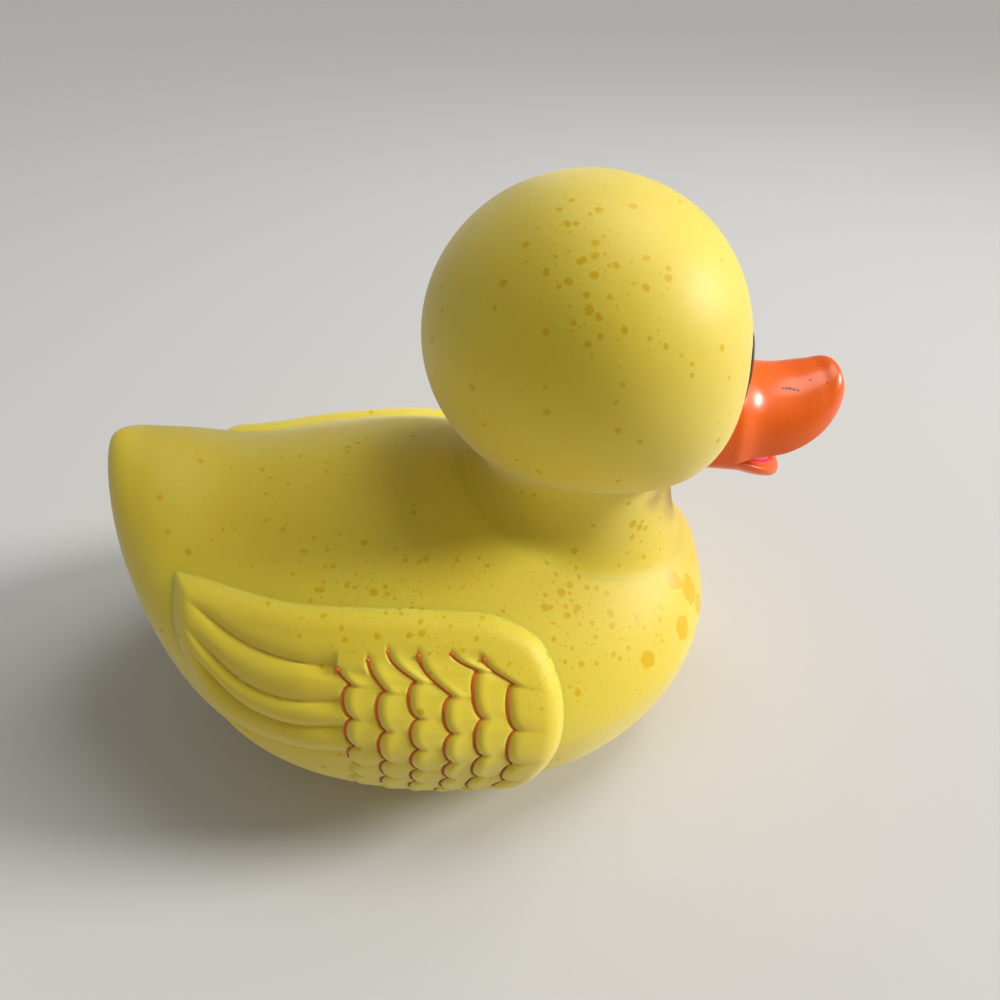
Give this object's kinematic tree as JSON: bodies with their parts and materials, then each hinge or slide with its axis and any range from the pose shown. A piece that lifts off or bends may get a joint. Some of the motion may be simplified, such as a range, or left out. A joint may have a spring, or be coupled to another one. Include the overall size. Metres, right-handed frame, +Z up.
{
  "type": "rubber duck",
  "caption": "Large moulded vinyl bath duck in matt yellow with folded wings in relief, a glossy orange bill, a pink tongue and black eyes.",
  "frame": {"origin": "in the flat underside, below the middle of the body", "axes": "+X towards the bill along the length, +Z up"},
  "size_m": [0.388, 0.2766, 0.295],
  "materials": {
    "vinyl": "matt soft vinyl, faintly speckled",
    "bill": "glossy orange paint over the moulding",
    "tongue": "glossy pink paint over the moulding",
    "eye": "glossy black paint over the moulding"
  },
  "bodies": {
    "root": {"duck": "vinyl"}
  },
  "joints": []
}
